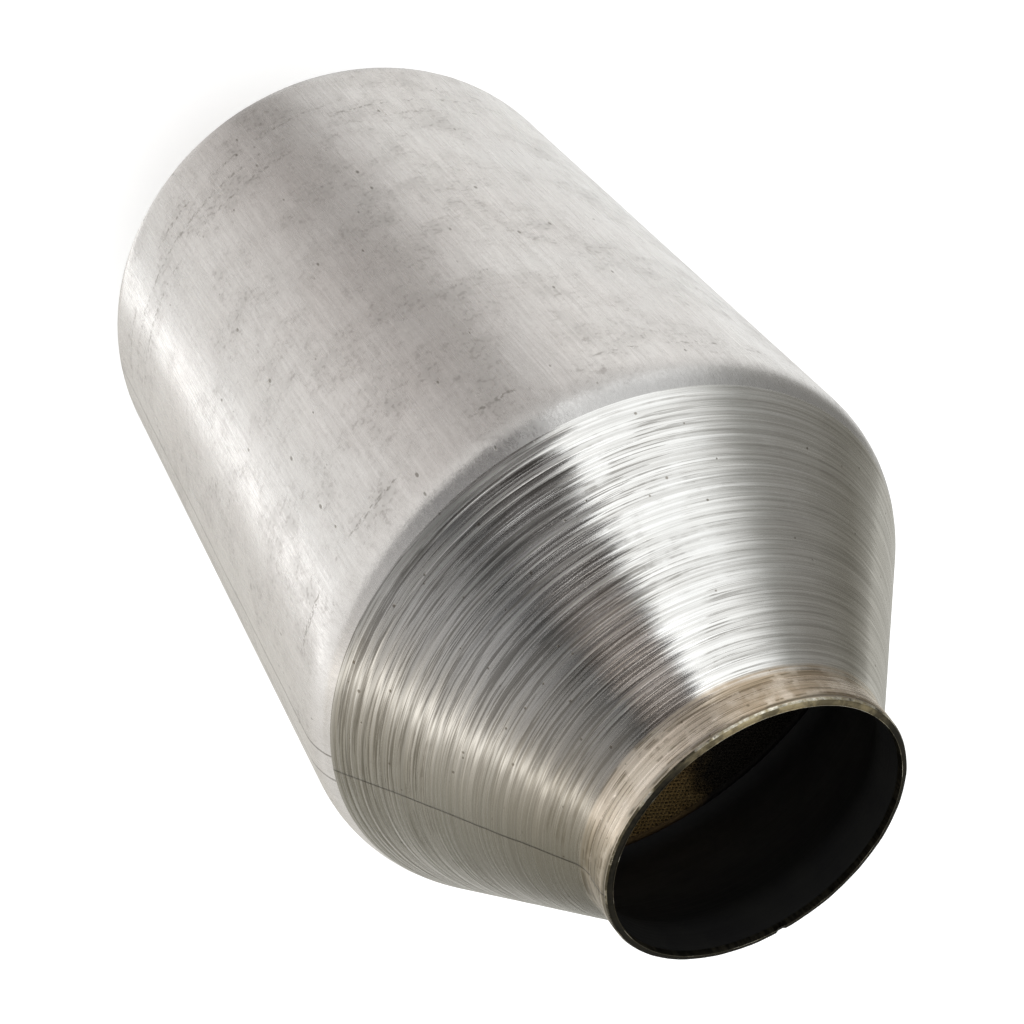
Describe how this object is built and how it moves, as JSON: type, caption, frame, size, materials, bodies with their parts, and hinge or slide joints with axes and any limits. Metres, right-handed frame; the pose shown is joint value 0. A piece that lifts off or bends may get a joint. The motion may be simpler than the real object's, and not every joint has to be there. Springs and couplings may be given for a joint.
{
  "type": "catalytic converter",
  "caption": "Round spun-shell catalytic converter: a steel tube with a cone and a short neck at each end, holding a square-celled ceramic monolith in a fibre mat.",
  "frame": {"origin": "centre of the outlet rim, which the converter stands on", "axes": "+Z along the gas path's axis, from the outlet rim to the inlet rim"},
  "size_m": [0.127, 0.127, 0.2566],
  "materials": {
    "stainless_shell": "satin along the body, spun rings on the cones",
    "cordierite": "dull, washcoated",
    "ceramic_fibre": "matt fibre",
    "knitted_wire": "knitted and pressed"
  },
  "bodies": {
    "root": {"shell": "stainless_shell", "monolith": "cordierite", "support_mat": "ceramic_fibre", "inlet_edge_seal": "knitted_wire", "outlet_edge_seal": "knitted_wire"}
  },
  "joints": []
}
